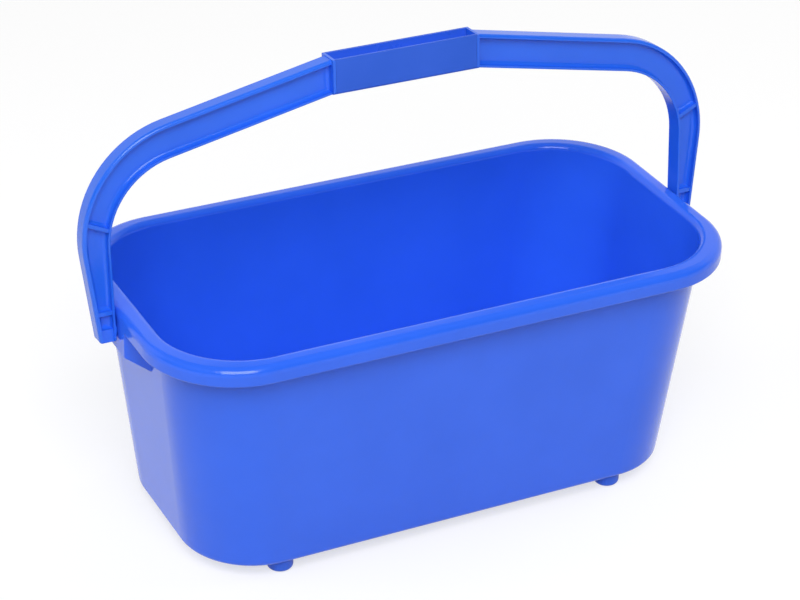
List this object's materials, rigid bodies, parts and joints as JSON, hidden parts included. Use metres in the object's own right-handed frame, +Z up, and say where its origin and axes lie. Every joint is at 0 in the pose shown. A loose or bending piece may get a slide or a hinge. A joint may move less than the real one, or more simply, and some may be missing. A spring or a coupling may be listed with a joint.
{
  "type": "rectangular bucket",
  "caption": "Rectangular open bucket with rounded corners, tapered walls, a turned-over rim and a swinging carry handle with a trough-shaped hand grip.",
  "frame": {"origin": "on the floor plane, in the middle under the tub", "axes": "+X along the tub's long side, +Y towards the back, to which the handle leans, +Z up"},
  "size_m": [0.4708, 0.2304, 0.3318],
  "materials": {
    "tub": "smooth glossy blue polypropylene",
    "bail": "smooth glossy blue polypropylene",
    "grip": "finely textured matt blue polypropylene",
    "foot": "plain blue polypropylene"
  },
  "bodies": {
    "bucket": {"tub": "tub", "foot_front_left": "foot", "foot_front_right": "foot", "foot_back_left": "foot", "foot_back_right": "foot"},
    "handle": {"handle_bail": "bail", "handle_grip": "grip"}
  },
  "joints": [
    {"name": "handle_swing", "type": "hinge", "parent": "bucket", "child": "handle", "pos_m": [0, 0, 0.1693], "axis": [1, 0, 0], "range_deg": [-118.5, 128.5]}
  ]
}
